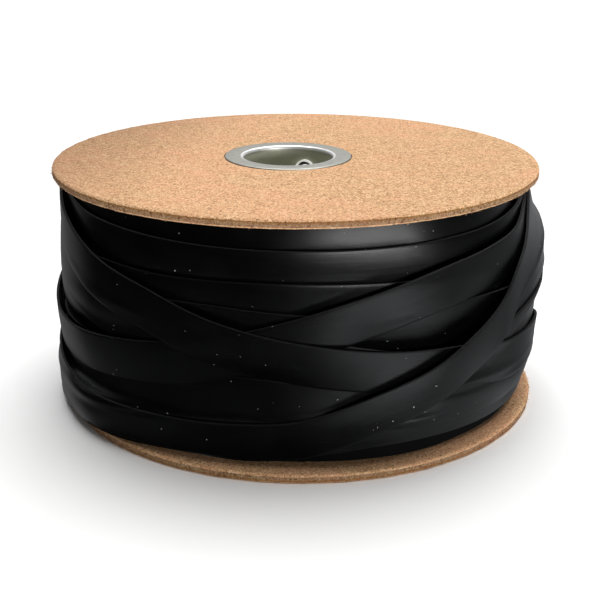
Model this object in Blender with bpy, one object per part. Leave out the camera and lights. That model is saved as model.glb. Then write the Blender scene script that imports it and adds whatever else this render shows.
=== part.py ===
"""A reel of flat black rubber elastic, standing on its lower board.

Two round boards of brown fibreboard are held apart by a steel tube whose ends
are turned out into flat collars.  A long flat tape of black elastic is wound
crosswise on the tube between the boards, and its last turns swing up and down
over each other.

Units are metres and +Z is up.  The origin lies on the surface the reel stands
on, under the middle of the whole outline.  Angles round the reel are degrees
from the front (-Y), growing towards the right-hand side (+X).
"""
import math
from collections import namedtuple

import bmesh
import bpy
from mathutils import Matrix, Vector

MM = 0.001

# Driving dimensions.
BOARD_DIAMETER = 203.2 * MM
BOARD_THICKNESS = 3.3 * MM
REEL_HEIGHT = 101.8 * MM
BORE_DIAMETER = 38.1 * MM
TUBE_WALL = 0.9 * MM
COLLAR_DIAMETER = 53.8 * MM
TAPE_WIDTH = 17.0 * MM
GAP = 0.3 * MM

# The pieces are a little out of line with each other, as the reel is cheaply made.
CORE_X = -4.4 * MM
PACK_X = -2.9 * MM
TOP_BOARD_X = -1.2 * MM
BOTTOM_BOARD_X = 1.4 * MM

# The collars lie in shallow rings pressed into the boards.
LIP_RADIUS = 1.7 * MM
TOP_COLLAR_PROUD = 0.4 * MM
BOTTOM_COLLAR_SUNK = 0.1 * MM
BOARD_EDGE_ROUND = 0.5 * MM

# How finely the round pieces are divided.
BOARD_STEPS = 90
TUBE_STEPS = 48
PACK_STEPS = 90
ARC_STEPS = 4
LUG_STEPS = 12

# Two arched strips bent in from the tube's wall, one inside the other, behind the far rim.
Lug = namedtuple("Lug", "radius wall reach drop lean")
LUG_ANGLE = 156.5
LUG_DEPTH = 10.0 * MM
LUG_ROOT = 0.4 * MM
LUGS = (
    Lug(4.6 * MM, 0.8 * MM, 1.8 * MM, 0.0, 8),
    Lug(2.9 * MM, 0.8 * MM, 1.8 * MM, 0.4 * MM, 16),
)

# The general form of the wound pack: its radius in mm at a height in mm, on each side.
Level = namedtuple("Level", "height front right back left")
PACK_FORM = (
    Level(3.6, 91.0, 100.5, 93.0, 102.0),
    Level(12.0, 93.0, 101.5, 95.5, 101.5),
    Level(22.0, 95.0, 103.2, 97.0, 100.0),
    Level(36.0, 96.0, 104.0, 97.5, 99.3),
    Level(50.0, 96.5, 104.0, 98.0, 98.8),
    Level(66.0, 96.5, 105.2, 98.0, 97.8),
    Level(75.0, 96.0, 104.6, 97.5, 97.0),
    Level(80.0, 95.0, 102.6, 96.5, 96.5),
    Level(88.0, 93.5, 98.0, 95.0, 96.0),
    Level(98.2, 91.5, 95.0, 92.5, 95.0),
)

# The main turns, innermost first.  Height is that of the tape's middle in mm, and lift is
# how far in mm the turn stands out from the general form, or is buried where it is negative.
Way = namedtuple("Way", "angle height lift")
TURNS = {
    "upper": (
        Way(-150, 88, 1.0), Way(-90, 88, 1.2), Way(-53, 82.2, 1.2), Way(-7, 79.8, 1.2),
        Way(48, 79.8, 1.2), Way(66, 82, 1.4), Way(90, 87.5, 1.4), Way(150, 88, 1.0),
    ),
    "middle": (
        Way(-150, 60, 1.2), Way(-90, 62, 1.4), Way(-31, 66.5, 1.6), Way(0, 68, 1.8),
        Way(30, 67, 1.8), Way(90, 60, 1.2), Way(150, 56, 1.2),
    ),
    "lower": (
        Way(-150, 22, 1.4), Way(-90, 24, 1.4), Way(-40, 26, 0.8), Way(0, 20, 1.2),
        Way(24, 20.5, 2.2), Way(55, 23, 2.2), Way(90, 24, 2.0), Way(150, 24, 1.4),
    ),
    "under": (
        Way(-150, 36, 1.6), Way(-90, 54, 1.0), Way(-45, 56, 0.8), Way(0, 48, 1.0),
        Way(45, 46, 1.6), Way(62, 45.5, 2.4), Way(90, 45, 2.4), Way(140, 38, 2.0),
    ),
    "rising": (
        Way(-150, 66, 2.6), Way(-110, 50, 2.6), Way(-75, 38.5, 2.8), Way(-58, 34.8, 2.6),
        Way(-32, 41, 2.4), Way(-9, 50.4, 2.4), Way(17, 64.2, 2.8), Way(41, 73, 2.8),
        Way(62, 79.5, 2.6), Way(90, 88, 2.0), Way(130, 88, 2.2), Way(175, 80, 2.6),
    ),
    "falling": (
        Way(-150, 79, 3.4), Way(-110, 88, 2.6), Way(-76, 86.5, 2.4), Way(-60, 78.4, 2.8),
        Way(-45, 68.2, 3.0), Way(-26, 58.4, 3.4), Way(0, 47.2, 3.6), Way(20, 41.8, 3.6),
        Way(41, 38.6, 3.4), Way(62, 31.5, 3.2), Way(90, 22, 3.2), Way(130, 15, 3.2),
        Way(170, 28, 3.4), Way(-170, 52, 3.6),
    ),
    "second": (
        Way(-150, 40, -2.0), Way(-60, 30, -2.0), Way(15, 22, -2.0), Way(40, 41.8, 3.6),
        Way(56, 55, 3.8), Way(75, 63.5, 3.8), Way(95, 66, 3.6), Way(130, 58, 3.0),
        Way(170, 46, -2.0),
    ),
    "outer": (
        Way(-150, 42, 4.4), Way(-110, 32, 3.6), Way(-80, 25, 2.8), Way(-62, 14.5, 2.4),
        Way(-40, 12.9, 1.8), Way(-15, 13.2, 2.0), Way(0, 15.2, 3.0), Way(20, 26, 4.2),
        Way(40, 42.5, 4.8), Way(55, 61, 4.8), Way(66, 78, 4.6), Way(85, 87.5, 3.8),
        Way(120, 86, 3.6), Way(155, 72, 4.2), Way(180, 56, 4.6),
    ),
}
TURN_ROOT = 9.0 * MM
SLOPE_PROBE = 1.0

# Sizes that follow from the ones above.
BOARD_RADIUS = BOARD_DIAMETER / 2
BORE_RADIUS = BORE_DIAMETER / 2
TUBE_RADIUS = BORE_RADIUS + TUBE_WALL
COLLAR_RADIUS = COLLAR_DIAMETER / 2
INNER_RADIUS = TUBE_RADIUS + GAP
PACK_BOTTOM = BOARD_THICKNESS + GAP
PACK_TOP = REEL_HEIGHT - BOARD_THICKNESS - GAP

SMOOTH_UNDER = math.radians(35)


def clear_scene():
    for thing in list(bpy.data.objects):
        bpy.data.objects.remove(thing, do_unlink=True)


def plain_material(name, colour, roughness, metallic=0.0):
    """One Principled material in the linear colour given."""
    material = bpy.data.materials.new(name)
    material.use_nodes = True
    shader = material.node_tree.nodes["Principled BSDF"]
    shader.inputs["Base Color"].default_value = (*colour, 1.0)
    shader.inputs["Roughness"].default_value = roughness
    shader.inputs["Metallic"].default_value = metallic
    material.diffuse_color = (*colour, 1.0)
    return material


def shade(mesh):
    mesh.shade_smooth()
    mesh.set_sharp_from_angle(angle=SMOOTH_UNDER)


def object_from(bm, name, material=None):
    """Turn a bmesh into a named object whose faces point outwards."""
    bmesh.ops.recalc_face_normals(bm, faces=bm.faces)
    mesh = bpy.data.meshes.new(name)
    bm.to_mesh(mesh)
    bm.free()
    shade(mesh)
    if material:
        mesh.materials.append(material)
    thing = bpy.data.objects.new(name, mesh)
    bpy.context.scene.collection.objects.link(thing)
    return thing


def join_shapes(body, shapes):
    """Make one solid of a body and the shapes that grow out of it."""
    for shape in shapes:
        union = body.modifiers.new(shape.name, "BOOLEAN")
        union.operation = "UNION"
        union.solver = "EXACT"
        union.object = shape
    joined = body.evaluated_get(bpy.context.evaluated_depsgraph_get())
    body.data = bpy.data.meshes.new_from_object(joined)
    body.modifiers.clear()
    for shape in shapes:
        bpy.data.objects.remove(shape, do_unlink=True)
    shade(body.data)


def turned(profile, steps, centre_x=0.0):
    """Spin a closed outline of (radius, height) points once round an upright axis."""
    bm = bmesh.new()
    corners = [bm.verts.new((radius, 0.0, height)) for radius, height in profile]
    edges = [bm.edges.new((a, b)) for a, b in zip(corners, corners[1:] + corners[:1])]
    bmesh.ops.spin(
        bm, geom=corners + edges, cent=(0, 0, 0), axis=(0, 0, 1),
        angle=math.tau, steps=steps, use_merge=True,
    )
    bmesh.ops.translate(bm, vec=(centre_x, 0, 0), verts=bm.verts)
    return bm


def arc(centre, radius, start, stop, steps=ARC_STEPS):
    """Points of an arc from one angle to another, in degrees, both ends included."""
    angles = [math.radians(start + (stop - start) * i / steps) for i in range(steps + 1)]
    return [(centre[0] + radius * math.cos(a), centre[1] + radius * math.sin(a)) for a in angles]


def make_board(name, centre_x, face, outward, recess, material):
    """A board with its ring for the collar, whose outer face looks up (1) or down (-1)."""
    inner = face - outward * BOARD_THICKNESS
    floor = face - outward * recess
    edge = outward * BOARD_EDGE_ROUND
    ring = COLLAR_RADIUS + GAP
    bevel = TUBE_WALL + GAP
    profile = [
        (INNER_RADIUS, inner),
        (BOARD_RADIUS - BOARD_EDGE_ROUND, inner),
        (BOARD_RADIUS, inner + edge),
        (BOARD_RADIUS, face - edge),
        (BOARD_RADIUS - BOARD_EDGE_ROUND, face),
        (ring, face),
        (ring, floor),
        (INNER_RADIUS + bevel, floor),
        (INNER_RADIUS, floor - outward * bevel),
    ]
    bm = turned(profile, BOARD_STEPS)
    rim_points = [v for v in bm.verts if v.co.xy.length > 2 * ring]
    bmesh.ops.translate(bm, vec=(centre_x - CORE_X, 0, 0), verts=rim_points)
    bmesh.ops.translate(bm, vec=(CORE_X, 0, 0), verts=bm.verts)
    return object_from(bm, name, material)


def collar_outline(face, outward):
    """One flared end of the tube in outline, from its bore round to its outside."""
    under = face - outward * TUBE_WALL
    edge = TUBE_WALL / 2
    quarter = 90 * outward
    lip_centre = (BORE_RADIUS + LIP_RADIUS, face - outward * LIP_RADIUS)
    nose_centre = (COLLAR_RADIUS - edge, face - outward * edge)
    neck_centre = (TUBE_RADIUS + TUBE_WALL, under - outward * TUBE_WALL)
    lip = arc(lip_centre, LIP_RADIUS, 180, 180 - quarter)
    nose = arc(nose_centre, edge, quarter, -quarter)
    neck = arc(neck_centre, TUBE_WALL, quarter, 2 * quarter, 3)
    return lip + nose + neck


def arched_lug(lug, place):
    """A half-round strip that springs out of the tube's wall towards its axis."""
    bm = bmesh.new()
    strip = ((lug.radius - lug.wall, 0), (lug.radius, 0), (lug.radius, lug.reach),
             (lug.radius - lug.wall, lug.reach))
    section = bm.faces.new([bm.verts.new((across, deep, 0)) for across, deep in strip])
    bmesh.ops.spin(
        bm, geom=[section], cent=(0, 0, 0), axis=(0, -1, 0), angle=math.pi, steps=LUG_STEPS,
    )
    tilt = Matrix.Rotation(math.radians(lug.lean), 4, "Y")
    settle = place @ Matrix.Translation((0, 0, -lug.drop)) @ tilt
    bmesh.ops.transform(bm, matrix=settle, verts=bm.verts)
    return bm


def make_core(material):
    """The steel tube with its two collars, and the lugs bent in from its wall."""
    top = collar_outline(REEL_HEIGHT + TOP_COLLAR_PROUD, 1)
    bottom = collar_outline(BOTTOM_COLLAR_SUNK, -1)
    tube = object_from(turned(top + bottom[::-1], TUBE_STEPS, CORE_X), "core_tube", material)
    place = (
        Matrix.Translation((CORE_X, 0, REEL_HEIGHT - LUG_DEPTH))
        @ Matrix.Rotation(math.radians(LUG_ANGLE), 4, "Z")
        @ Matrix.Translation((0, -BORE_RADIUS - LUG_ROOT, 0))
    )
    lugs = [object_from(arched_lug(lug, place), "lug_%d" % i) for i, lug in enumerate(LUGS)]
    join_shapes(tube, lugs)


def form_radius(angle, height):
    """Radius of the general form of the pack, in metres."""
    height_mm = min(max(height / MM, PACK_FORM[0].height), PACK_FORM[-1].height)
    for low, high in zip(PACK_FORM, PACK_FORM[1:]):
        if height_mm <= high.height:
            break
    share = (height_mm - low.height) / (high.height - low.height)
    front, right, back, left = (a + (b - a) * share for a, b in zip(low[1:], high[1:]))
    across, away = math.sin(math.radians(angle)), -math.cos(math.radians(angle))
    side = right if across > 0 else left
    end = back if away > 0 else front
    return (side * across ** 2 + end * away ** 2) * MM


def on_turn(ways, angle):
    """Height and lift of a turn at an angle, on a smooth closed curve through its rows."""
    ways = sorted(ways)
    angle = (angle - ways[0].angle) % 360 + ways[0].angle
    first = max(i for i, way in enumerate(ways) if way.angle <= angle)
    near = []
    for i in range(first - 1, first + 3):
        laps, row = divmod(i, len(ways))
        near.append(ways[row]._replace(angle=ways[row].angle + 360 * laps))
    before, start, stop, after = near
    span = stop.angle - start.angle
    t = (angle - start.angle) / span
    result = []
    for column in ("height", "lift"):
        p0, p1, p2, p3 = (getattr(way, column) for way in near)
        leave = (p2 - p0) / (stop.angle - before.angle) * span
        arrive = (p3 - p1) / (after.angle - start.angle) * span
        result.append((
            p1 * (2 * t ** 3 - 3 * t ** 2 + 1) + leave * (t ** 3 - 2 * t ** 2 + t)
            + p2 * (3 * t ** 2 - 2 * t ** 3) + arrive * (t ** 3 - t ** 2)
        ) * MM)
    return result


def round_pack(around, radius, height):
    """A point beside the pack's own axis."""
    return Vector((radius * math.sin(around), -radius * math.cos(around), height))


def make_turn(name, order, ways):
    """A closed band along one main turn, deep enough to be rooted in the pack."""
    outer, inner = 2.0, 1.0
    section = [(inner, -1), (outer, -1), (outer, 0), (outer, 1), (inner, 1)]
    bm = turned(section, PACK_STEPS)
    # No two bands share their angles or end at one height, so that they cross cleanly.
    room = 0.2 * MM * (order + 1)
    stagger = math.tau / PACK_STEPS * (order + 1) / (len(TURNS) + 1)
    for vert in bm.verts:
        outside = vert.co.xy.length > (outer + inner) / 2
        across = vert.co.z
        around = math.atan2(vert.co.x, -vert.co.y) + stagger
        angle = math.degrees(around)
        middle, lift = on_turn(ways, angle)
        climb = on_turn(ways, angle + SLOPE_PROBE)[0] - on_turn(ways, angle - SLOPE_PROBE)[0]
        slope = climb / (form_radius(angle, middle) * math.radians(2 * SLOPE_PROBE))
        height = middle + across * TAPE_WIDTH / 2 * math.hypot(1, slope)
        height = min(max(height, PACK_BOTTOM + room), PACK_TOP - room)
        radius = form_radius(angle, height) + (lift if outside else -TURN_ROOT)
        vert.co = round_pack(around, radius, height)
    bmesh.ops.translate(bm, vec=(PACK_X, 0, 0), verts=bm.verts)
    return object_from(bm, "turn_" + name)


def make_pack(material):
    """The wound elastic: a turned body with the main turns raised on it."""
    heights = [level.height * MM for level in PACK_FORM]
    heights[0], heights[-1] = PACK_BOTTOM, PACK_TOP
    profile = [(BOARD_DIAMETER, height) for height in heights]
    profile += [(INNER_RADIUS, PACK_TOP), (INNER_RADIUS, PACK_BOTTOM)]
    bm = turned(profile, PACK_STEPS)
    for vert in bm.verts:
        if vert.co.xy.length > BOARD_RADIUS:
            around = math.atan2(vert.co.x, -vert.co.y)
            radius = form_radius(math.degrees(around), vert.co.z)
            vert.co = round_pack(around, radius, vert.co.z)
            vert.co.x += PACK_X - CORE_X
    bmesh.ops.translate(bm, vec=(CORE_X, 0, 0), verts=bm.verts)
    pack = object_from(bm, "wound_elastic", material)
    turns = [make_turn(name, order, ways) for order, (name, ways) in enumerate(TURNS.items())]
    join_shapes(pack, turns)


def main():
    clear_scene()
    board = plain_material("brown fibreboard", (0.60, 0.38, 0.21), 0.9)
    steel = plain_material("bright steel", (0.55, 0.54, 0.49), 0.35, 1.0)
    rubber = plain_material("black rubber", (0.018, 0.019, 0.019), 0.5)
    seat = TUBE_WALL + GAP
    make_board("board_bottom", BOTTOM_BOARD_X, 0.0, -1, seat + BOTTOM_COLLAR_SUNK, board)
    make_board("board_top", TOP_BOARD_X, REEL_HEIGHT, 1, seat - TOP_COLLAR_PROUD, board)
    make_core(steel)
    make_pack(rubber)


main()
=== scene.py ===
"""The looks of a reel of flat black elastic: fibreboard, plated steel and dusty rubber.

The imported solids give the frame.  The tape is wound here turn by turn: each turn is a
strip of its real width and thickness, pulled over everything that was wound before it.
Units are metres and +Z is up.  Angles round the reel are degrees from the front (-Y),
growing towards the right-hand side (+X).
"""
import math
import random
from collections import namedtuple

import bmesh
import bpy
import numpy as np
from mathutils import Matrix, Vector, noise


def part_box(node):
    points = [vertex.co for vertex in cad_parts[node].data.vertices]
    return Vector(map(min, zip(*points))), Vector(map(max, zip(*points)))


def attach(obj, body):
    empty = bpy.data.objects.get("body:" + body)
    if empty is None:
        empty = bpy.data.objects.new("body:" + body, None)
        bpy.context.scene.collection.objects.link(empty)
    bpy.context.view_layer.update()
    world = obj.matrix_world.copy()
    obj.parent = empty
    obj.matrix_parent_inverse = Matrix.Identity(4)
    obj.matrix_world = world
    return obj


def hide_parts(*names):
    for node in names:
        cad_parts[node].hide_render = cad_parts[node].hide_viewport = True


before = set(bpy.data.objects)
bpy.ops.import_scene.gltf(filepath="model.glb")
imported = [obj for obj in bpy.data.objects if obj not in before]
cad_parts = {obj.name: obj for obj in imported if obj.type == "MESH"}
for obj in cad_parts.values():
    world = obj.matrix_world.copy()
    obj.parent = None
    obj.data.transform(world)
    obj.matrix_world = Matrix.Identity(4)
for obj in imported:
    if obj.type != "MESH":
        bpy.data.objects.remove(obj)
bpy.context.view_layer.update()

MM = 0.001

# The pieces' places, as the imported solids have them.
BOARD_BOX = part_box("board_bottom")
REEL_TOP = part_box("board_top")[1].z
BOARD_THICKNESS = BOARD_BOX[1].z
BOARD_RADIUS = (BOARD_BOX[1].x - BOARD_BOX[0].x) / 2
BOTTOM_BOARD_X = (BOARD_BOX[1].x + BOARD_BOX[0].x) / 2
TOP_BOARD_X = sum(corner.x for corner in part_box("board_top")) / 2
CORE_X = sum(corner.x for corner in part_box("core_tube")) / 2
COLLAR_RADIUS = (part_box("core_tube")[1].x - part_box("core_tube")[0].x) / 2
COLLAR_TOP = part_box("core_tube")[1].z
COLLAR_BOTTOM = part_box("core_tube")[0].z
PACK_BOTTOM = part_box("wound_elastic")[0].z
PACK_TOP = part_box("wound_elastic")[1].z
PACK_X = -2.9 * MM
BORE_RADIUS = 19.05 * MM
TUBE_WALL = 0.9 * MM

# The top board sits a little forward, as the photograph shows, and the boards stand clear
# of the tube by a gap.
TOP_BOARD_Y = -1.2 * MM
GAP = 0.3 * MM

# Where the lugs spring from the wall of the bore.
LUG_ANGLE = 156.5
LUG_DEPTH = 10.0 * MM
LUG_PLACE = (
    CORE_X + BORE_RADIUS * math.sin(math.radians(LUG_ANGLE)),
    -BORE_RADIUS * math.cos(math.radians(LUG_ANGLE)),
    REEL_TOP - LUG_DEPTH,
)

# The tape.
TAPE_WIDTH = 17.0 * MM
TAPE_THICKNESS = 1.1 * MM
TAPE_ROUND = 0.2 * MM

# The general form of the wound pack: its radius in mm at a height in mm, on each side.
Level = namedtuple("Level", "height front right back left")
PACK_FORM = (
    Level(3.6, 91.0, 100.5, 93.0, 102.0),
    Level(12.0, 93.0, 101.5, 95.5, 101.5),
    Level(22.0, 95.0, 103.2, 97.0, 100.0),
    Level(36.0, 96.0, 104.0, 97.5, 99.3),
    Level(50.0, 96.5, 104.0, 98.0, 98.8),
    Level(66.0, 96.5, 105.2, 98.0, 97.8),
    Level(75.0, 96.1, 104.6, 97.5, 97.0),
    Level(80.0, 95.3, 102.6, 96.5, 96.5),
    Level(88.0, 94.2, 98.0, 95.0, 96.0),
    Level(98.2, 90.4, 95.0, 91.6, 95.0),
)
BODY_SINK = 7.0 * MM

# Earlier turns, innermost first: each swings once up and down round the reel.
Sweep = namedtuple("Sweep", "name height swing crest lift")
EARLIER_TURNS = (
    Sweep("early_1", 28.0, 12.0, 200, -6.4),
    Sweep("early_2", 47.0, 16.0, 90, -5.4),
    Sweep("early_3", 62.0, 12.0, 310, -5.4),
    Sweep("early_4", 78.0, 6.0, 180, -4.6),
    Sweep("early_5", 21.0, 7.0, 260, -4.6),
    Sweep("early_6", 40.0, 14.0, 30, -4.2),
    Sweep("early_7", 54.0, 17.0, 180, -4.0),
    Sweep("early_8", 66.0, 11.0, 200, -3.8),
    Sweep("early_9", 88.9, 0.5, 20, -1.6),
)

# The main turns, innermost first.  Height is that of the tape's middle in mm, lift is how
# far in mm the turn stands out from the general form, and flare is how much further out
# its upper edge leans.
Way = namedtuple("Way", "angle height lift flare", defaults=(0.0,))
MAIN_TURNS = {
    "foot": (
        Way(-150, 12.2, 0.4), Way(-90, 12.2, -0.6), Way(-73, 12.2, -0.6), Way(-60, 12.2, 1.2),
        Way(-50, 12.2, 2.0), Way(-42, 12.2, 1.4), Way(-32, 12.2, -0.6), Way(-18, 12.2, -0.8),
        Way(2, 12.2, 0.0), Way(21, 12.2, 1.4), Way(34, 12.2, 1.2), Way(45, 12.2, -0.4),
        Way(60, 12.2, -1.1), Way(72, 12.2, -1.7), Way(90, 12.2, -0.6),
    ),
    "upper": (
        Way(-150, 88, 0.6), Way(-90, 88, 0.0), Way(-66, 84.5, 0.2), Way(-53, 82.6, 0.6),
        Way(-7, 79.8, 1.2, -0.3), Way(48, 79.8, 0.6, -0.3), Way(66, 82, 1.0), Way(90, 87.5, 1.4),
        Way(150, 88, 1.0),
    ),
    "middle": (
        Way(-150, 60, 0.0), Way(-90, 62, -1.2), Way(-50, 67.5, -0.2), Way(-31, 67.6, 0.6),
        Way(0, 68, 1.0), Way(30, 66.4, 0.8), Way(90, 60, 0.4), Way(150, 56, 0.4),
    ),
    "under": (
        Way(-150, 36, 0.4), Way(-90, 52, 0.6), Way(-70, 50, 0.6), Way(-45, 56, 0.4),
        Way(-22, 58.9, 0.4), Way(0, 57, 0.6, 0.8), Way(15, 56, 0.4, 2.2), Way(30, 56, 0.8, 1.6),
        Way(45, 56, 1.4, 0.4), Way(62, 55, 2.4), Way(90, 54, 3.0), Way(140, 42, 1.0),
    ),
    "second": (
        Way(-150, 40, 0.0), Way(-60, 34, -3.0), Way(15, 28, -0.6), Way(40, 36, 2.0),
        Way(56, 48, 3.0), Way(75, 64.4, 3.6, -0.2), Way(95, 74.5, 2.2, -0.8), Way(130, 66, 1.2),
        Way(170, 50, 0.6),
    ),
    "lowest": (
        Way(-150, 13.5, 0.4), Way(-90, 13, 0.4), Way(-72, 13, 0.9), Way(-58, 13, 1.6),
        Way(-40, 13, 1.2), Way(0, 15, 1.6), Way(20, 17.6, 1.6), Way(50, 17.2, 1.8),
        Way(80, 17.4, 1.4), Way(120, 15, 1.0),
    ),
    "lower": (
        Way(-150, 24, 0.4), Way(-90, 24, 0.0), Way(-60, 24, -0.6), Way(-45, 25, -0.4),
        Way(-27, 29.5, 1.2, -1.0), Way(-11, 31.5, 1.5, -1.2), Way(0, 30, 1.7, -1.2),
        Way(14, 27, 2.0, -0.8), Way(30, 24, 2.0, 0.8), Way(50, 22.5, 2.0, 1.0),
        Way(70, 22.5, 1.8, 0.4), Way(90, 22, 1.6),
    ),
    "beside": (
        Way(-150, 62, 1.0), Way(-110, 70, 1.0), Way(-78, 69, 1.2), Way(-60, 61, 1.0),
        Way(-48, 56, 0.6), Way(-25, 50, 0.8), Way(0, 48, 1.2), Way(30, 38, 1.4),
        Way(45, 38, 1.8), Way(60, 43, 2.6, -0.6), Way(75, 47.3, 2.8, -1.6),
        Way(90, 51.5, 2.8, -1.2), Way(160, 54, 1.0),
    ),
    "rising": (
        Way(-150, 66, 1.8), Way(-110, 50, 1.6), Way(-78, 37.6, 1.8, 1.0),
        Way(-66, 36.3, 1.2, 2.0), Way(-56, 36.5, 1.0, 2.2), Way(-40, 39.6, 1.4, 1.2),
        Way(-29, 42.3, 1.8), Way(-9, 50.2, 2.2, 0.4), Way(17, 64.0, 2.8, 2.4),
        Way(33, 71.2, 2.8, 2.6), Way(46, 74.4, 2.6, 2.4), Way(60, 77.4, 2.2, 1.8),
        Way(72, 82, 1.6, 0.6), Way(95, 88, 0.8), Way(130, 88, 1.0), Way(175, 80, 2.0),
    ),
    "falling": (
        Way(-150, 79, 2.4), Way(-110, 88, 1.2), Way(-78, 86.5, 1.6, 0.6),
        Way(-66, 78.9, 1.4, 1.8), Way(-60, 74.4, 1.2, 1.6), Way(-48, 68.2, 1.8, 1.0),
        Way(-34, 62.6, 2.2, 0.6), Way(-18, 53.9, 2.2, 1.1), Way(0, 47.0, 2.4, 1.5),
        Way(20, 41.8, 2.8, 1.8), Way(41, 38.2, 2.8, 1.3), Way(54, 33.2, 2.8, 0.4),
        Way(64, 31.4, 2.4, 0.2), Way(78, 30.2, 2.4, 0.8), Way(92, 25, 2.0), Way(130, 15, 2.2),
        Way(170, 28, 2.6), Way(-170, 52, 2.6),
    ),
    "outer": (
        Way(-150, 42, 3.0), Way(-110, 27, 1.2), Way(-78, 17.2, 0.8, 1.2),
        Way(-65, 14.4, 2.0, 0.8), Way(-55, 12.6, 3.0, 0.0), Way(-36, 12.0, 3.8, -2.2),
        Way(-20, 12.0, 4.2, -2.6), Way(0, 14.4, 4.8, -2.0), Way(10, 19.2, 5.0, -0.6),
        Way(20, 26.0, 5.6, 0.8), Way(32, 34.1, 6.2, 1.4), Way(40, 41.6, 6.2, 1.2),
        Way(50, 52.4, 5.4, 0.8), Way(58, 65.8, 4.2, 0.6), Way(67, 76, 3.4, 0.4),
        Way(78, 83.6, 2.8, -1.2), Way(90, 86.6, 1.0, -1.0), Way(120, 86, 1.6), Way(155, 72, 2.6),
        Way(180, 56, 3.2),
    ),
}

# How finely the tape is laid: stations round the reel, levels up it, samples across a turn.
STATIONS = 480
HEIGHT_STEP = 0.5 * MM
ACROSS = np.linspace(-1.0, 1.0, 33)
UPWARD = (ACROSS[None, :] + 1) / 2

# How a turn settles on what is under it: how many stations away it is pulled straight, how
# often, and how much it is smoothed afterwards.
REACHES = (12, 9, 7, 5, 4, 3, 2, 1)
PULLS = 3
ROUND_THE_REEL = 10
ACROSS_THE_TAPE = 3
EDGE_PASSES = 12

# How far a turn's lower edge tucks in over a hollow and presses into the turn below it.
TUCK = 0.6
TUCKS = {"foot": 0.0, "lowest": 0.15, "beside": 0.15, "second": 0.3}
PRESS = 0.75

# No two turns lie alike: each waves a little and keeps its own distance from the boards.
RIPPLE = 0.12 * MM
RIPPLE_WAVES = 3
RIPPLE_SHIFT = 47
BOARD_CLEARANCE = 0.12 * MM


# ---------------------------------------------------------------- shader maths

class Reading:
    """A value in a node tree.  Sums and products with it add Math nodes."""

    def __init__(self, work, socket):
        self.work = work
        self.socket = socket

    def maths(self, operation, *values):
        return self.work.node("Math", {"operation": operation}, dict(enumerate(values)))

    def __add__(self, other):
        return self.maths("ADD", self, other)

    def __radd__(self, other):
        return self.maths("ADD", other, self)

    def __sub__(self, other):
        return self.maths("SUBTRACT", self, other)

    def __rsub__(self, other):
        return self.maths("SUBTRACT", other, self)

    def __mul__(self, other):
        return self.maths("MULTIPLY", self, other)

    def __rmul__(self, other):
        return self.maths("MULTIPLY", other, self)

    def clip(self, low, high):
        """0 below low, 1 above high, and a smooth step between them."""
        return self.work.node("MapRange", {"interpolation_type": "SMOOTHSTEP"}, {
            "Value": self, "From Min": low, "From Max": high,
        })


class Work:
    """A node tree, whose nodes are all made by one method."""

    def __init__(self, tree):
        self.tree = tree

    def node(self, kind, settings, values, out=0):
        """A node of a kind with its settings, then the values or links of its sockets."""
        made = self.tree.nodes.new("ShaderNode" + kind)
        for name, value in settings.items():
            if name == "stops":
                self.set_stops(made.color_ramp.elements, value)
            else:
                setattr(made, name, value)
        for name, value in values.items():
            self.feed(made.inputs[name], value)
        return Reading(self, made.outputs[out])

    def feed(self, socket, value):
        if isinstance(value, Reading):
            self.tree.links.new(value.socket, socket)
        else:
            socket.default_value = value

    @staticmethod
    def set_stops(elements, stops):
        while len(elements) < len(stops):
            elements.new(1.0)
        for element, (position, tint) in zip(elements, stops):
            element.position = position
            element.color = colour(*tint)

    def noise(self, vector, scale, detail, roughness, distortion=0.0):
        """A noise pattern with so many waves to the metre."""
        return self.node("TexNoise", {}, {
            "Vector": vector, "Scale": scale, "Detail": detail,
            "Roughness": roughness, "Distortion": distortion,
        })


class Finish(Work):
    """One material and its shader."""

    def __init__(self, name, constants):
        self.material = bpy.data.materials.new(name)
        self.material.use_nodes = True
        super().__init__(self.material.node_tree)
        self.shader = self.tree.nodes["Principled BSDF"]
        for socket, value in constants.items():
            self.shader.inputs[socket].default_value = value

    def give(self, socket, value):
        """Set or link one of the shader's sockets."""
        self.feed(self.shader.inputs[socket], value)

    def place(self):
        """Where a point is in the reel's own frame."""
        return self.node("TexCoord", {}, {}, out="Object")

    def stretched(self, vector, scale):
        return self.node("Mapping", {}, {"Vector": vector, "Scale": scale})

    def mix(self, share, first, second, blend="MIX"):
        """Two colours mixed; the numbered sockets are the colour ones."""
        return self.node("Mix", {"data_type": "RGBA", "blend_type": blend}, {
            0: share, 6: first, 7: second,
        }, out=2)

    def relief(self, height, depth):
        """Bumps of a real depth in metres under the shader's normal."""
        bump = self.node("Bump", {}, {"Height": height, "Distance": depth, "Strength": 1.0})
        self.give("Normal", bump)


def colour(red, green, blue):
    """An opaque colour, from linear red, green and blue."""
    return (red, green, blue, 1.0)


# ---------------------------------------------------------------- finishes

# Base colours of the board's matted fibres, from dark to pale, at their levels in the mat,
# and the warm patches, pale chips and dark flecks over them.
FIBRE_TONES = (
    (0.36, (0.33, 0.150, 0.062)),
    (0.45, (0.55, 0.300, 0.142)),
    (0.52, (0.69, 0.412, 0.214)),
    (0.62, (0.88, 0.590, 0.340)),
)
FIBRE_ORANGE = (0.76, 0.385, 0.215)
CHIP_PALE = (0.95, 0.71, 0.45)
FLECK_DARK = (0.22, 0.105, 0.05)

# Waves to the metre: along a fibre, across it, and through the board.
FIBRE_SCALE = 600.0
FIBRE_FINE_SCALE = 2600.0
FIBRE_DEPTH_SCALE = 900.0

# Painted shade: the board is darker towards its left, where less light falls on it.
# It is also darker round its sawn rim.
PAINTED_LEFT_SHADE = (0.63, 0.61, 0.61)
LEFT_WAY = (0.97, -0.25, 0.0)
LEFT_REACH = (-110 * MM, -25 * MM)
RIM_INNER = (0.50, 0.50, 0.50)
RIM_OUTER = (0.45, 0.37, 0.23)


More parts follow.
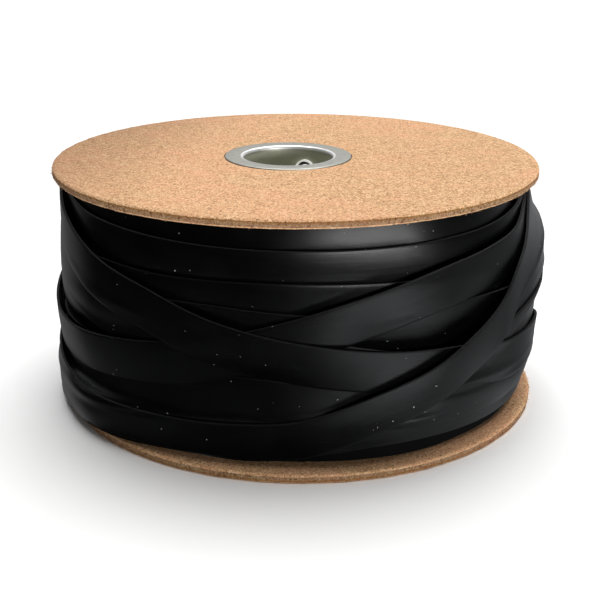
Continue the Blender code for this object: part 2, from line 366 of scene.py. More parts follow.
def fibreboard():
    """Brown hardboard: matted wood fibres in warm patches, with pale chips and dark flecks,
    painted shade towards the left and a darker sawn rim.
    """
    finish = Finish("fibreboard", {"Specular IOR Level": 0.2})
    place = finish.place()
    cloud = finish.noise(place, 70.0, 4.0, 0.65)
    mat = finish.noise(place, 420.0, 4.0, 0.65, 0.8)
    fibre_a, fibre_b = (
        finish.noise(finish.stretched(place, scale), 1.0, 2.0, 0.6, 1.4)
        for scale in (
            (FIBRE_FINE_SCALE, FIBRE_SCALE, FIBRE_DEPTH_SCALE),
            (FIBRE_SCALE, FIBRE_FINE_SCALE, FIBRE_DEPTH_SCALE),
        )
    )
    grain = finish.noise(place, 2400.0, 2.0, 0.6)
    tone = mat * 0.42 + fibre_a * 0.29 + fibre_b * 0.29
    ramp = finish.node("ValToRGB", {"stops": FIBRE_TONES}, {"Fac": tone})
    patch = finish.noise(place, 17.0, 2.0, 0.5)
    warm = cloud.clip(0.46, 0.66) * 0.38 + patch.clip(0.44, 0.60) * 0.36
    orange = finish.mix(warm, ramp, colour(*FIBRE_ORANGE))
    specks = finish.noise(place, 1250.0, 2.0, 0.6, 0.5)
    chips = (1 - specks.clip(0.36, 0.44)) * 0.75
    flecks = specks.clip(0.58, 0.65) * 0.9
    chipped = finish.mix(chips, orange, colour(*CHIP_PALE))
    face = finish.mix(flecks, chipped, colour(*FLECK_DARK))
    # Painted shade: the face is darkened towards the left.
    apart = finish.node("VectorMath", {"operation": "DOT_PRODUCT"},
                        {0: place, 1: LEFT_WAY}, out="Value")
    left = 1 - apart.clip(*LEFT_REACH)
    painted_shade = finish.mix(left, face, colour(*PAINTED_LEFT_SHADE), "MULTIPLY")
    # The sawn rim is darker, and browner towards its outer face.
    rim = finish.node("UVMap", {"uv_map": "rim"}, {})
    sawn = finish.node("SeparateXYZ", {}, {0: rim}, out="X")
    share = finish.node("SeparateXYZ", {}, {0: rim}, out="Y")
    rim_darkening = finish.mix(share.clip(0.45, 0.75), colour(*RIM_INNER), colour(*RIM_OUTER))
    finish.give("Base Color", finish.mix(sawn, painted_shade, rim_darkening, "MULTIPLY"))
    finish.give("Roughness", 0.95 - grain * 0.2)
    finish.relief(tone * 0.7 + grain * 0.3, 0.3 * MM)
    return finish.material


# How each kind of steel looks: its share of bore wall, of bare metal and of painted glow, a
# light of its own that stands in for highlights, and its colour where it is clean and where it
# is stained.
Plating = namedtuple("Plating", "inside metal glint clean stained")
TUBE_PLATING = Plating(1.0, 1.0, 0.0, (0.47, 0.465, 0.42), (0.36, 0.35, 0.31))
# Painted highlight: the lugs are painted near white and given a glow of their own.
LUG_PLATING = Plating(0.0, 0.0, 0.45, (0.98, 0.98, 0.95), (0.90, 0.88, 0.84))
BORE_WALL = (0.54, 0.545, 0.42)
LIP_HIGHLIGHT = (0.94, 0.94, 0.92)
LUG_HOLE = (0.01, 0.01, 0.01)
TURNING_SCALE = 9000.0


def steel(name, plating):
    """Dull plated steel with turning marks round the axis, small stains, a painted highlight on
    the top lip and a painted glow where the plating asks for one.
    """
    metal, inside = plating.metal, plating.inside
    finish = Finish(name, {"Metallic": metal, "Emission Color": colour(1.0, 1.0, 0.95),
                           "Emission Strength": plating.glint})
    centre = finish.node("Mapping", {}, {"Vector": finish.place(), "Location": (-CORE_X, 0, 0)})
    height = finish.node("SeparateXYZ", {}, {"Vector": centre}, out=2)
    flat = finish.node("VectorMath", {"operation": "MULTIPLY"}, {0: centre, 1: (1, 1, 0)})
    radius = finish.node("VectorMath", {"operation": "LENGTH"}, {0: flat}, out=1)
    lines = finish.node("CombineXYZ", {}, {
        "X": radius * TURNING_SCALE, "Y": height * TURNING_SCALE,
    })
    turning = finish.noise(lines, 1.0, 2.0, 0.6)
    stain = finish.noise(finish.place(), 260.0, 4.0, 0.6, 0.6)
    bright = finish.mix(stain.clip(0.45, 0.7) * 0.6, colour(*plating.clean),
                        colour(*plating.stained))
    deep = (1 - height.clip(REEL_TOP - 2.5 * MM, REEL_TOP - 0.8 * MM)) * inside
    # Painted highlight: the rounded lip of the top collar is painted near white and less
    # metallic, for the light it catches from above.
    highlight_band = height.clip(REEL_TOP - 1.2 * MM, REEL_TOP - 0.7 * MM)
    lip = (1 - radius.clip(BORE_RADIUS + 0.9 * MM, BORE_RADIUS + 1.3 * MM)) * highlight_band
    wall = finish.mix(deep, bright, colour(*BORE_WALL))
    # Painted shade: a near-black patch round the lugs' roots stands for the hole they were bent
    # out of; the wall itself is whole.
    near = finish.node("VectorMath", {"operation": "DISTANCE"},
                       {0: finish.place(), 1: LUG_PLACE}, out="Value")
    punched = (1 - near.clip(3.6 * MM, 4.2 * MM)) * inside
    holed = finish.mix(punched, wall, colour(*LUG_HOLE))
    finish.give("Base Color", finish.mix(lip, holed, colour(*LIP_HIGHLIGHT)))
    finish.give("Metallic", metal - deep * 0.85 - lip * 0.4)
    finish.give("Roughness", 0.30 + stain * 0.16 + turning * 0.10 + deep * 0.2)
    finish.relief(turning, 0.012 * MM)
    return finish.material


# The tape's colours, and how far from its middle the cut edge starts to look rough.
TAPE_BLACK = (0.0007, 0.0007, 0.0009)
TAPE_BLOOM = (0.0024, 0.0025, 0.0025)
TAPE_DUST = (0.42, 0.42, 0.40)
TAPE_EDGE = (8.2 * MM, 8.45 * MM)


def rubber(name, gloss, dull):
    """Black elastic: faint marks along the tape, a soft bloom, rough edges, a little dust."""
    finish = Finish(name, {"Specular IOR Level": gloss})
    along = finish.node("UVMap", {"uv_map": "tape"}, {})
    marks = finish.noise(finish.stretched(along, (14.0, 5200.0, 1.0)), 1.0, 3.0, 0.6)
    bands = finish.noise(finish.stretched(along, (7.0, 420.0, 1.0)), 1.0, 2.0, 0.5)
    place = finish.place()
    bloom = finish.noise(place, 60.0, 4.0, 0.6, 0.4)
    grain = finish.noise(place, 1900.0, 2.0, 0.6)
    dust = finish.noise(place, 800.0, 1.0, 0.4).clip(0.80, 0.82)
    film = bloom * 0.6 + bands * 0.4
    across = finish.node("SeparateXYZ", {}, {0: along}, out="Y")
    edge = across.maths("ABSOLUTE", across).clip(*TAPE_EDGE)
    black = finish.mix(film.clip(0.35, 0.75), colour(*TAPE_BLACK), colour(*TAPE_BLOOM))
    finish.give("Base Color", finish.mix(dust, black, colour(*TAPE_DUST)))
    finish.give("Roughness", 0.22 + dull + film * 0.12 + marks * 0.05 + dust * 0.3 + edge * 0.5)
    finish.relief(marks * 0.6 + bands * 0.3 + grain * 0.1, 0.05 * MM)
    return finish.material


# ---------------------------------------------------------------- shapes

def turned(profile, steps, centre_x=0.0):
    """Spin a closed outline of (radius, height) points once round an upright axis."""
    bm = bmesh.new()
    corners = [bm.verts.new((radius, 0.0, height)) for radius, height in profile]
    edges = [bm.edges.new((a, b)) for a, b in zip(corners, corners[1:] + corners[:1])]
    bmesh.ops.spin(
        bm, geom=corners + edges, cent=(0, 0, 0), axis=(0, 0, 1),
        angle=math.tau, steps=steps, use_merge=True,
    )
    bmesh.ops.translate(bm, vec=(centre_x, 0, 0), verts=bm.verts)
    return bm


def arc(centre, radius, start, stop, steps):
    """Points of an arc from one angle to another, in degrees, both ends included."""
    angles = [math.radians(start + (stop - start) * i / steps) for i in range(steps + 1)]
    return [(centre[0] + radius * math.cos(a), centre[1] + radius * math.sin(a)) for a in angles]


def mesh_from(bm, name, material, sharp=35.0):
    """Turn a bmesh into a mesh whose faces point outwards."""
    bmesh.ops.recalc_face_normals(bm, faces=bm.faces)
    mesh = bpy.data.meshes.new(name)
    bm.to_mesh(mesh)
    bm.free()
    mesh.materials.append(material)
    mesh.shade_smooth()
    mesh.set_sharp_from_angle(angle=math.radians(sharp))
    return mesh


def piece_of(mesh, name, slot, *replaced):
    """Make a mesh a piece of the reel, and return it."""
    piece = bpy.data.objects.new(name, mesh)
    bpy.context.scene.collection.objects.link(piece)
    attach(piece, "root")
    if replaced:
        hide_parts(*replaced)
    return piece


# ---------------------------------------------------------------- the boards

# The boards' outline: FACE_RINGS are shares of the radius.
BOARD_STEPS = 720
BOARD_ROUND = 0.6 * MM
EDGE_ROWS = 7
FACE_RINGS = (0.4, 0.6, 0.8, 0.93, 0.98)
RECESS_TOP = 0.8 * MM
RECESS_BOTTOM = 1.3 * MM

# The sawn edge is worn back a little, in waves and in small nibbles.  A face whose normal
# rises less than RIM_SLOPE counts as sawn.
WAVE_SCALE = 160.0
NIBBLE_SCALE = 900.0
WEAR = 0.22
WORN_BACK = 0.1 * MM
RIM_SLOPE = 0.3


def board(name, centre, face, outward, recess, material):
    """A fibreboard disc with a ragged edge; its outer face looks up (1) or down (-1)."""
    inner = face - outward * BOARD_THICKNESS
    seat = face - outward * recess
    hole = BORE_RADIUS + TUBE_WALL + GAP
    ring = COLLAR_RADIUS + GAP
    bevel = TUBE_WALL + GAP
    edge = outward * BOARD_ROUND
    rim = [
        (BOARD_RADIUS, inner + edge + (face - inner - 2 * edge) * i / EDGE_ROWS)
        for i in range(EDGE_ROWS + 1)
    ]
    across = [BOARD_RADIUS * share for share in FACE_RINGS]
    profile = (
        [(hole, inner)] + [(radius, inner) for radius in across]
        + [(BOARD_RADIUS - BOARD_ROUND, inner)] + rim
        + [(BOARD_RADIUS - BOARD_ROUND, face)] + [(radius, face) for radius in across[::-1]]
        + [(ring, face), (ring, seat), (hole + bevel, seat), (hole, seat - outward * bevel)]
    )
    bm = turned(profile, BOARD_STEPS)
    for vert in bm.verts:
        radius = vert.co.xy.length
        if radius > BOARD_RADIUS - 2 * BOARD_ROUND:
            wave = noise.noise(vert.co * WAVE_SCALE)
            nibble = noise.noise(vert.co * NIBBLE_SCALE)
            worn = (wave * WEAR + nibble * WEAR) * MM
            vert.co.xy *= 1 + (worn - WORN_BACK) / radius
        outside = radius > 2 * ring
        vert.co.x += centre[0] if outside else CORE_X
        vert.co.y += centre[1] if outside else 0.0
    # The rim map holds 1 where a face is sawn, and the share of the way to the outer face.
    bm.normal_update()
    rim_map = bm.loops.layers.uv.new("rim")
    for quad in bm.faces:
        sawn = float(abs(quad.normal.z) < RIM_SLOPE)
        for loop in quad.loops:
            loop[rim_map].uv = (sawn, abs(loop.vert.co.z - inner) / BOARD_THICKNESS)
    mesh = mesh_from(bm, name, material, 50.0)
    piece = piece_of(mesh, name, "fibreboard", name.replace("fibre_", ""))
    # The tape would mirror the board as a pale band that the photograph does not have.
    piece.visible_glossy = False


# Loose fibres: their number, their sizes, how they stand in radians, and how far up the
# bottom board's edge the lowest of them is.
FUZZ_COUNT = 420
FUZZ_SIDES = 4
FUZZ_LENGTH_MM = (0.8, 2.6)
FUZZ_THICK_MM = (0.05, 0.10)
FUZZ_TIP = 0.4
FUZZ_ROOT = 0.1 * MM
FUZZ_LEAN = (-1.2, 1.2)
FUZZ_SWEEP = (0.6, 1.45)
FUZZ_LOW = 1.4 * MM


def fuzz(name, centre, low, high, material, seed):
    """Short loose fibres along a board's sawn edge, between two heights."""
    draw = random.Random(seed)
    bm = bmesh.new()
    for _ in range(FUZZ_COUNT):
        length = draw.uniform(*FUZZ_LENGTH_MM) * MM
        thick = draw.uniform(*FUZZ_THICK_MM) * MM
        made = bmesh.ops.create_cone(
            bm, cap_ends=True, segments=FUZZ_SIDES, radius1=thick, radius2=thick * FUZZ_TIP,
            depth=length,
        )["verts"]
        around = draw.uniform(0, math.tau)
        lean = Matrix.Rotation(draw.uniform(*FUZZ_LEAN), 4, "Y")
        sweep = Matrix.Rotation(draw.uniform(*FUZZ_SWEEP), 4, "X")
        spot = Matrix.Translation((0, -BOARD_RADIUS + FUZZ_ROOT, draw.uniform(low, high)))
        turn = Matrix.Rotation(around, 4, "Z")
        shift = Matrix.Translation((*centre, 0))
        bmesh.ops.transform(bm, matrix=shift @ turn @ spot @ lean @ sweep, verts=made)
    piece_of(mesh_from(bm, name, material), name, "fibreboard")


# ---------------------------------------------------------------- the core

CORE_STEPS = 160
LIP_RADIUS = 1.1 * MM
ARC_STEPS = 8

# Each lug is a half ring of strip: drop lowers it, and lean turns it in degrees.
Lug = namedtuple("Lug", "radius wall reach drop lean")
LUGS = (
    Lug(4.6 * MM, 0.6 * MM, 1.8 * MM, 0.0, 8),
    Lug(2.9 * MM, 0.6 * MM, 1.8 * MM, 0.4 * MM, 16),
)
LUG_ROOT = 0.4 * MM
LUG_STEPS = 24


def collar_outline(face, outward):
    """One flared end of the tube in outline, from its bore round to its outside."""
    under = face - outward * TUBE_WALL
    edge = TUBE_WALL / 2
    quarter = 90 * outward
    outside = BORE_RADIUS + TUBE_WALL
    lip_centre = (BORE_RADIUS + LIP_RADIUS, face - outward * LIP_RADIUS)
    nose_centre = (COLLAR_RADIUS - edge, face - outward * edge)
    neck_centre = (outside + TUBE_WALL, under - outward * TUBE_WALL)
    lip = arc(lip_centre, LIP_RADIUS, 180, 180 - quarter, ARC_STEPS)
    nose = arc(nose_centre, edge, quarter, -quarter, ARC_STEPS)
    neck = arc(neck_centre, TUBE_WALL, quarter, 2 * quarter, ARC_STEPS)
    return lip + nose + neck


def add_lug(bm, lug, place):
    """A half-round strip that springs out of the tube's wall towards its axis."""
    corners = ((lug.radius - lug.wall, 0), (lug.radius, 0), (lug.radius, lug.reach),
               (lug.radius - lug.wall, lug.reach))
    earlier = set(bm.verts)
    section = bm.faces.new([bm.verts.new((across, deep, 0)) for across, deep in corners])
    bmesh.ops.spin(
        bm, geom=[section], cent=(0, 0, 0), axis=(0, -1, 0), angle=math.pi, steps=LUG_STEPS,
    )
    tilt = Matrix.Rotation(math.radians(lug.lean), 4, "Y")
    settle = place @ Matrix.Translation((0, 0, -lug.drop)) @ tilt
    added = [vert for vert in bm.verts if vert not in earlier]
    bmesh.ops.transform(bm, matrix=settle, verts=added)


def core(material, lug_material):
    """The steel tube with its two collars, and the lugs bent in from its wall."""
    outline = collar_outline(COLLAR_TOP, 1) + collar_outline(COLLAR_BOTTOM, -1)[::-1]
    bm = turned(outline, CORE_STEPS, CORE_X)
    place = (
        Matrix.Translation((CORE_X, 0, REEL_TOP - LUG_DEPTH))
        @ Matrix.Rotation(math.radians(LUG_ANGLE), 4, "Z")
        @ Matrix.Translation((0, -BORE_RADIUS - LUG_ROOT, 0))
    )
    piece_of(mesh_from(bm, "steel_core", material), "steel_core", "steel", "core_tube")
    bm = bmesh.new()
    for lug in LUGS:
        add_lug(bm, lug, place)
    piece_of(mesh_from(bm, "steel_lugs", lug_material), "steel_lugs", "steel")


# ---------------------------------------------------------------- the wound tape

STATION_ANGLES = np.arange(STATIONS) * 360.0 / STATIONS
LEVELS = np.arange(PACK_BOTTOM, PACK_TOP + HEIGHT_STEP, HEIGHT_STEP)
FORM_HEIGHTS = np.array([level.height for level in PACK_FORM]) * MM
FORM_SIDES = {
    side: np.array([getattr(level, side) for level in PACK_FORM]) * MM
    for side in ("front", "right", "back", "left")
}


def form_radius(angles, heights):
    """Radius of the general form of the pack at angles in degrees and heights in metres."""
    reach = {side: np.interp(heights, FORM_HEIGHTS, row) for side, row in FORM_SIDES.items()}
    across = np.sin(np.radians(angles))
    away = -np.cos(np.radians(angles))
    side = np.where(across > 0, reach["right"], reach["left"])
    end = np.where(away > 0, reach["back"], reach["front"])
    return side * across ** 2 + end * away ** 2


def through_ways(ways, column):
    """A smooth closed curve through one column of a turn's rows, read at each station."""
    ways = sorted(ways)
    known = np.array([way.angle for way in ways], float)
    value = np.array([getattr(way, column) for way in ways], float)
    known = np.concatenate([known[-2:] - 360, known, known[:3] + 360])
    value = np.concatenate([value[-2:], value, value[:3]])
    lean = np.gradient(value, known)
    lean[1:-1] = (value[2:] - value[:-2]) / (known[2:] - known[:-2])
    wanted = (STATION_ANGLES - ways[0].angle) % 360 + ways[0].angle
    first = np.searchsorted(known, wanted, side="right") - 1
    span = known[first + 1] - known[first]
    t = (wanted - known[first]) / span
    return (
        value[first] * (2 * t ** 3 - 3 * t ** 2 + 1)
        + lean[first] * span * (t ** 3 - 2 * t ** 2 + t)
        + value[first + 1] * (3 * t ** 2 - 2 * t ** 3)
        + lean[first + 1] * span * (t ** 3 - t ** 2)
    ) * MM


def ease(surface, around, across):
    """Smooth a turn's surface a little, round the reel and across the tape."""
    for _ in range(around):
        surface = (np.roll(surface, 1, 0) + 2 * surface + np.roll(surface, -1, 0)) / 4
    for _ in range(across):
        wide = np.pad(surface, ((0, 0), (1, 1)), mode="reflect", reflect_type="odd")
        surface = (wide[:, :-2] + 2 * surface + wide[:, 2:]) / 4
    return surface


def pulled_tight(radii):
    """The tape runs straight from one high place to the next, and never sags between."""
    for _ in range(PULLS):
        for reach in REACHES:
            ahead, behind = np.roll(radii, -reach, 0), np.roll(radii, reach, 0)
            straight = math.cos(math.tau * reach / STATIONS)
            radii = np.maximum(radii, 2 * straight * ahead * behind / (ahead + behind))
    return radii


def lay_turn(laid, middle, lift, flare, tuck, order):
    """Pull one turn over what is wound so far: its heights and radii at every station."""
    waves = RIPPLE_WAVES + order % 4
    ripple = RIPPLE * np.sin(np.radians(STATION_ANGLES * waves + RIPPLE_SHIFT * order))
    middle = middle + ripple
    climb = (np.roll(middle, -1) - np.roll(middle, 1)) / 2
    stride = form_radius(STATION_ANGLES, middle) * math.tau / STATIONS
    half = TAPE_WIDTH / 2 * np.hypot(1, climb / stride)
    room = BOARD_CLEARANCE * (1 + (order + 1) % 5)
    heights = middle[:, None] + ACROSS[None, :] * half[:, None]
    heights = np.clip(heights, PACK_BOTTOM + room, PACK_TOP - room)
    wished = form_radius(STATION_ANGLES[:, None], heights)
    flat = (wished[:, :1] + wished[:, -1:]) / 2
    slant = (wished[:, -1:] - wished[:, :1]) / 2
    wished = (wished + flat + slant * ACROSS[None, :]) / 2
    wished = wished + (lift + ripple * 0.5)[:, None] + flare[:, None] * UPWARD
    under = np.array([np.interp(row, LEVELS, ring) for row, ring in zip(heights, laid)])
    under = under + TAPE_THICKNESS * (1 - PRESS * (1 - UPWARD) ** 4)
    hanging = np.clip(wished[:, :1] - ease(under, EDGE_PASSES, 0)[:, :1], 0, None)
    wished = wished - tuck * hanging * (1 - UPWARD) ** 2
    radii = pulled_tight(np.maximum(wished, under))
    radii = ease(radii, ROUND_THE_REEL, ACROSS_THE_TAPE)
    for ring, row, radius in zip(laid, heights, radii):
        covered = (LEVELS >= row[0]) & (LEVELS <= row[-1])
        ring[covered] = np.maximum(ring[covered], np.interp(LEVELS[covered], row, radius))
    return heights, radii


def tape_section():
    """The tape's section as (across, depth) points: fine outside, plain inside."""
    step = TAPE_ROUND / (TAPE_WIDTH / 2)
    edge = [(1 - step * (1 - math.cos(a)), TAPE_ROUND * (1 - math.sin(a)))
            for a in (0.0, math.pi / 6, math.pi / 3)]
    flat = [(x, 0.0) for x in np.linspace(1 - step, step - 1, 19)]
    outside = edge + flat + [(-x, depth) for x, depth in edge[::-1]]
    deep = TAPE_THICKNESS
    inside = [(-1, deep - TAPE_ROUND), (step - 1, deep), (0.0, deep), (1 - step, deep),
              (1, deep - TAPE_ROUND)]
    return outside + inside


# The ring is spun far larger than the reel, so that each of its points tells its own place:
# which station it belongs to, how far across the tape it lies, and how deep.
SPIN_RADIUS = 2.0
DEPTH_SCALE = 100.0
BODY_LEVELS = 24


def points_of(mesh):
    """The mesh's points as rows of x, y and z."""
    points = np.empty(len(mesh.vertices) * 3, np.float32)
    mesh.vertices.foreach_get("co", points)
    return points.reshape(-1, 3).astype(float)


def spun_strip(material):
    """A closed ring of the tape's section, which every turn starts from."""
    section = [(SPIN_RADIUS - depth * DEPTH_SCALE, across) for across, depth in tape_section()]
    return mesh_from(turned(section, STATIONS), "strip", material)


def tape_piece(name, strip, heights, radii, material=None):
    """One turn: every point of the spun ring goes to its place on the pack."""
    mesh = strip.copy()
    mesh.name = name
    if material:
        mesh.materials[0] = material
    spun = points_of(mesh)
    around = np.arctan2(spun[:, 0], -spun[:, 1]) % math.tau
    station = np.rint(around / math.tau * STATIONS).astype(int) % STATIONS
    depth = (SPIN_RADIUS - np.hypot(spun[:, 0], spun[:, 1])) / DEPTH_SCALE
    sample = (spun[:, 2] + 1) / 2 * (len(ACROSS) - 1)
    low = np.clip(sample.astype(int), 0, len(ACROSS) - 2)
    share = sample - low
    height = heights[station, low] * (1 - share) + heights[station, low + 1] * share
    radius = radii[station, low] * (1 - share) + radii[station, low + 1] * share - depth
    placed = np.stack([radius * np.sin(around) + PACK_X, -radius * np.cos(around), height], 1)
    mesh.vertices.foreach_set("co", placed.astype(np.float32).ravel())
    # The tape map is in metres along and across; a face over the seam runs on past it.
    corner = np.empty(len(mesh.loops), np.int32)
    mesh.loops.foreach_get("vertex_index", corner)
    turns = (station[corner] / STATIONS).reshape(-1, 4)
    wraps = turns.max(1, keepdims=True) - turns.min(1, keepdims=True) > 0.5
    turns = np.where(wraps & (turns < 0.5), turns + 1, turns)
    flat = np.stack([turns.ravel() * math.tau * BOARD_RADIUS,
                     spun[corner, 2] * TAPE_WIDTH / 2], 1)
    mesh.uv_layers.new(name="tape").data.foreach_set("uv", flat.astype(np.float32).ravel())
    mesh.update()
    piece_of(mesh, name, "rubber")


def wound_tape(material, painted_shade):
    """The plain body of the pack, then every turn in the order in which it was wound."""
    laid = form_radius(STATION_ANGLES[:, None], LEVELS[None, :]) - BODY_SINK
    bore = BORE_RADIUS + TUBE_WALL + GAP
    levels = np.linspace(PACK_BOTTOM, PACK_TOP, BODY_LEVELS)
    profile = [(SPIN_RADIUS, height) for height in levels]
    profile += [(bore, PACK_TOP), (bore, PACK_BOTTOM)]
    body = mesh_from(turned(profile, STATIONS // 2), "wound_body", material)
    points = points_of(body)
    outer = np.hypot(points[:, 0], points[:, 1]) > SPIN_RADIUS / 2
    around = np.arctan2(points[:, 0], -points[:, 1])
    radius = form_radius(np.degrees(around), points[:, 2]) - BODY_SINK
    points[:, 0] = np.where(outer, radius * np.sin(around) + PACK_X, points[:, 0] + CORE_X)
    points[:, 1] = np.where(outer, -radius * np.cos(around), points[:, 1])
    body.vertices.foreach_set("co", points.astype(np.float32).ravel())
    body.update()
    piece_of(body, "wound_body", "rubber", "wound_elastic")
    strip = spun_strip(material)
    order = 0
    for sweep in EARLIER_TURNS:
        swing = np.cos(np.radians(STATION_ANGLES - sweep.crest))
        middle = (sweep.height + sweep.swing * swing) * MM
        lift = np.full(STATIONS, sweep.lift * MM)
        heights, radii = lay_turn(laid, middle, lift, np.zeros(STATIONS), TUCK, order)
        tape_piece(sweep.name, strip, heights, radii)
        order += 1
    for name, ways in MAIN_TURNS.items():
        columns = [through_ways(ways, column) for column in ("height", "lift", "flare")]
        heights, radii = lay_turn(laid, *columns, TUCKS.get(name, TUCK), order)
        # The foot turn takes the duller copy of the rubber: painted shade for the dark gap where
        # the pack meets the bottom board.
        tape_piece("turn_" + name, strip, heights, radii, painted_shade if name == "foot" else None)
        order += 1


# ---------------------------------------------------------------- floor, lights, camera

FLOOR_SIZE = 12.0
FLOOR_DROP = 0.1 * MM
FLOOR_TINT = (0.99, 0.99, 0.985)
BACKDROP_RADIUS = 11.0
BACKDROP_LEVEL = 0.95

# The room's glows: reach is how near to its azimuth a glow starts and is at its full, as
# cosines.  The table's band rises and falls between sines of the angle below the horizon.
Glow = namedtuple("Glow", "azimuth reach strength")
ROOM_TINT = (0.95, 0.97, 1.0)
ROOM_LEVEL = 0.01
HORIZON = (-0.03, 0.03)
TABLE_GLOW = 0.13
TABLE_RISE = (0.44, 0.56)
TABLE_FALL = (0.55, 0.69)
FRONT_GLOW = Glow(40.0, (0.68, 0.82), 2.7)
SIDE_GLOW = Glow(110.0, (0.0, 0.60), 0.23)
RIGHT_GLOW = Glow(105.0, (0.70, 0.95), 0.20)
REAR_GLOW = Glow(165.0, (0.75, 1.0), 0.45)
BACK_GLOW = 0.42
BACK_GLOW_REACH = (0.15, 0.8)
SUN_STRENGTH = 3.6
SUN_WIDTH = 60.0
SUN_TILT = (-14.0, 5.0)

Lamp = namedtuple("Lamp", "name azimuth elevation distance size watts")
LAMPS = (
    Lamp("key", 33.0, 7.0, 1.5, (1.1, 0.18), 8.5),
    Lamp("left", -142.0, -18.0, 1.3, (0.9, 0.9), 0.58),
)


def floor():
    """A plain pale floor that the glossy tape does not mirror."""
    finish = Finish("floor", {"Roughness": 0.8, "Specular IOR Level": 0.1})
    finish.give("Base Color", colour(*FLOOR_TINT))
    bm = bmesh.new()
    bmesh.ops.create_grid(bm, x_segments=1, y_segments=1, size=FLOOR_SIZE)
    bmesh.ops.translate(bm, vec=(0, 0, -FLOOR_DROP), verts=bm.verts)
    mesh = bpy.data.meshes.new("floor")
    bm.to_mesh(mesh)
    bm.free()
    mesh.materials.append(finish.material)
    ground = bpy.data.objects.new("floor", mesh)
    ground.visible_glossy = False
    bpy.context.scene.collection.objects.link(ground)


def backdrop():
    """A pale dome far behind, which the camera sees and which lights nothing."""
    finish = Finish("backdrop", {
        "Base Color": colour(0, 0, 0), "Emission Color": colour(1, 1, 1),
        "Emission Strength": BACKDROP_LEVEL,
    })
    bm = bmesh.new()
    bmesh.ops.create_uvsphere(bm, u_segments=48, v_segments=24, radius=BACKDROP_RADIUS)
    mesh = mesh_from(bm, "backdrop", finish.material)
    dome = bpy.data.objects.new("backdrop", mesh)
    dome.visible_glossy = dome.visible_diffuse = dome.visible_shadow = False
    bpy.context.scene.collection.objects.link(dome)


def direction(azimuth, elevation=0.0):
    """The way towards an azimuth and elevation in degrees; the front is 0, the right is 90."""
    around, up = math.radians(azimuth), math.radians(elevation)
    return Vector((math.sin(around) * math.cos(up), -math.cos(around) * math.cos(up),
                   math.sin(up)))


def soft_light(lamp):
    """A flat soft light that looks at the middle of the reel."""
    panel = bpy.data.lights.new(lamp.name, "AREA")
    panel.shape = "RECTANGLE"
    panel.size, panel.size_y = lamp.size
    panel.energy = lamp.watts
    away = direction(lamp.azimuth, lamp.elevation)
    thing = bpy.data.objects.new(lamp.name, panel)
    thing.location = Vector((0, 0, REEL_TOP / 2)) + away * lamp.distance
    thing.rotation_euler = (-away).to_track_quat("-Z", "Y").to_euler()
    bpy.context.scene.collection.objects.link(thing)


def room_light():
    """What the reel mirrors: a dim room, a pale table that is brightest at the right, a
    glow low at the right and behind, and one above the horizon behind."""
    world = bpy.data.worlds.new("studio")
    bpy.context.scene.world = world
    world.use_nodes = True
    work = Work(world.node_tree)
    look = work.node("TexCoord", {}, {}, out="Generated")
    front, side, right, rear = (
        work.node("VectorMath", {"operation": "DOT_PRODUCT"},
                  {0: look, 1: direction(glow.azimuth)}, out="Value").clip(*glow.reach)
        * glow.strength
        for glow in (FRONT_GLOW, SIDE_GLOW, RIGHT_GLOW, REAR_GLOW)
    )
    behind = work.node("SeparateXYZ", {}, {0: look}, out="Y")
    height = work.node("SeparateXYZ", {}, {0: look}, out="Z")
    above = height.clip(*HORIZON)
    depth = height * -1.0
    rise = depth.clip(*TABLE_RISE)
    band = rise * (1 - depth.clip(*TABLE_FALL))
    low = (front + TABLE_GLOW) * band + side * rise
    far = (right + rear) * (1 - above)
    back = behind.clip(*BACK_GLOW_REACH) * BACK_GLOW * above
    sky = world.node_tree.nodes["Background"]
    sky.inputs["Color"].default_value = colour(*ROOM_TINT)
    work.feed(sky.inputs["Strength"], low + far + back + ROOM_LEVEL)


def studio():
    """A broad soft light overhead, two soft panels and the room's own glow."""
    room_light()
    sun = bpy.data.lights.new("overhead", "SUN")
    sun.energy = SUN_STRENGTH
    sun.angle = math.radians(SUN_WIDTH)
    overhead = bpy.data.objects.new("overhead", sun)
    overhead.rotation_euler = (math.radians(SUN_TILT[0]), math.radians(SUN_TILT[1]), 0)
    bpy.context.scene.collection.objects.link(overhead)
    for lamp in LAMPS:
        soft_light(lamp)
    bpy.context.scene.view_settings.view_transform = "Standard"


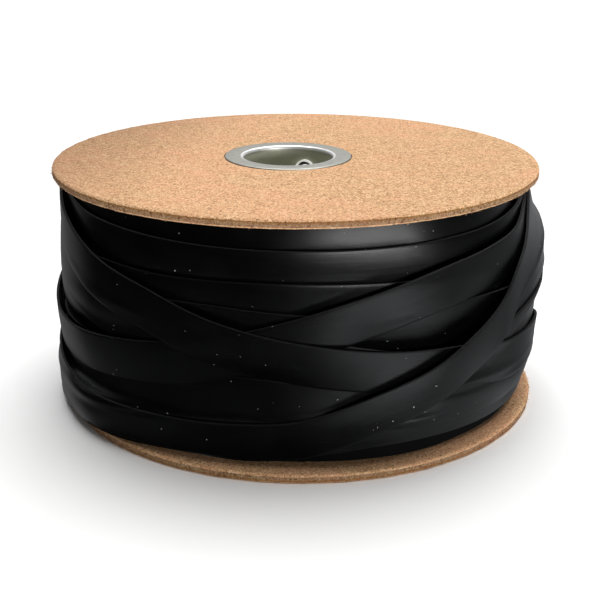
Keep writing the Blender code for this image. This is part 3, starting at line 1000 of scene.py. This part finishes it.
# The camera's angles in degrees, its place, and its lens in mm, fitted to the photograph.
CAMERA_YAW = 0.195
CAMERA_PITCH = 19.31
CAMERA_ROLL = 0.204
CAMERA_PLACE = Vector((-1.234, -487.85, 208.30)) * MM
CAMERA_LENS = 70.17
CAMERA_SENSOR = 36.0
CAMERA_NEAR = 0.01


def camera():
    """The photograph's view: from the front, a little above the reel."""
    yaw, pitch, roll = (math.radians(a) for a in (CAMERA_YAW, CAMERA_PITCH, CAMERA_ROLL))
    forward = Vector((math.sin(yaw) * math.cos(pitch), math.cos(yaw) * math.cos(pitch),
                      -math.sin(pitch)))
    right = Vector((math.cos(yaw), -math.sin(yaw), 0))
    up = right.cross(forward)
    across = right * math.cos(roll) + up * math.sin(roll)
    above = up * math.cos(roll) - right * math.sin(roll)
    lens = bpy.data.cameras.new("camera")
    lens.lens = CAMERA_LENS
    lens.sensor_width = CAMERA_SENSOR
    lens.clip_start = CAMERA_NEAR
    view = bpy.data.objects.new("camera", lens)
    place = Matrix((across, above, -forward)).transposed().to_4x4()
    place.translation = CAMERA_PLACE
    view.matrix_world = place
    bpy.context.scene.collection.objects.link(view)
    bpy.context.scene.camera = view


def main():
    """The view, the reel from its boards inwards, and the studio."""
    camera()
    board_finish = fibreboard()
    bottom = (BOTTOM_BOARD_X, 0.0)
    top = (TOP_BOARD_X, TOP_BOARD_Y)
    top_inside = REEL_TOP - BOARD_THICKNESS
    board("fibre_board_bottom", bottom, 0.0, -1, RECESS_BOTTOM, board_finish)
    board("fibre_board_top", top, REEL_TOP, 1, RECESS_TOP, board_finish)
    fuzz("fuzz_bottom", bottom, FUZZ_LOW, BOARD_THICKNESS, board_finish, 3)
    fuzz("fuzz_top", top, top_inside, REEL_TOP - BOARD_ROUND, board_finish, 5)
    core(steel("steel", TUBE_PLATING), steel("steel_lugs", LUG_PLATING))
    # The second rubber is a duller, less glossy copy: painted shade for the foot turn.
    wound_tape(rubber("rubber", 0.5, 0.0), rubber("rubber_shaded", 0.1, 0.4))
    floor()
    backdrop()
    studio()


main()
